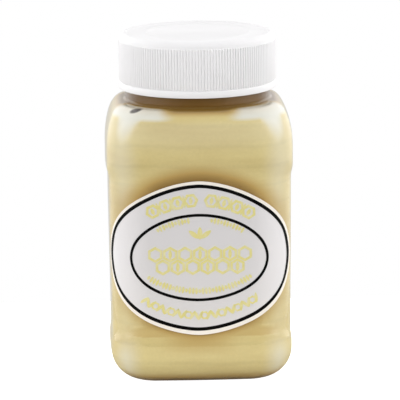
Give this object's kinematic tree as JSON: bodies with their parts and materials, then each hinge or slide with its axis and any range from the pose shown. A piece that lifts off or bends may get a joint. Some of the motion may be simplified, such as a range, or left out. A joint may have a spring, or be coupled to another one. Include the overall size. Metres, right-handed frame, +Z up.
{
  "type": "honey jar",
  "caption": "Square clear jar with rounded corners, full of pale creamed honey, shut by a white ribbed screw cap, with an oval sticker on its set-in front panel",
  "frame": {"origin": "middle of the jar's foot, on the surface it stands on", "axes": "+Z up along the jar's axis, -Y out of the labelled face, +X to the right of someone who reads the label"},
  "size_m": [0.0794, 0.0794, 0.1451],
  "materials": {
    "clear_plastic": "clear, glossy moulded plastic",
    "honey": "opaque pale creamed honey",
    "cap_plastic": "satin white moulded plastic",
    "label_film": "satin silver-white printed sticker"
  },
  "bodies": {
    "root": {"jar": "clear_plastic", "honey": "honey", "cap": "cap_plastic", "label": "label_film"}
  },
  "joints": []
}
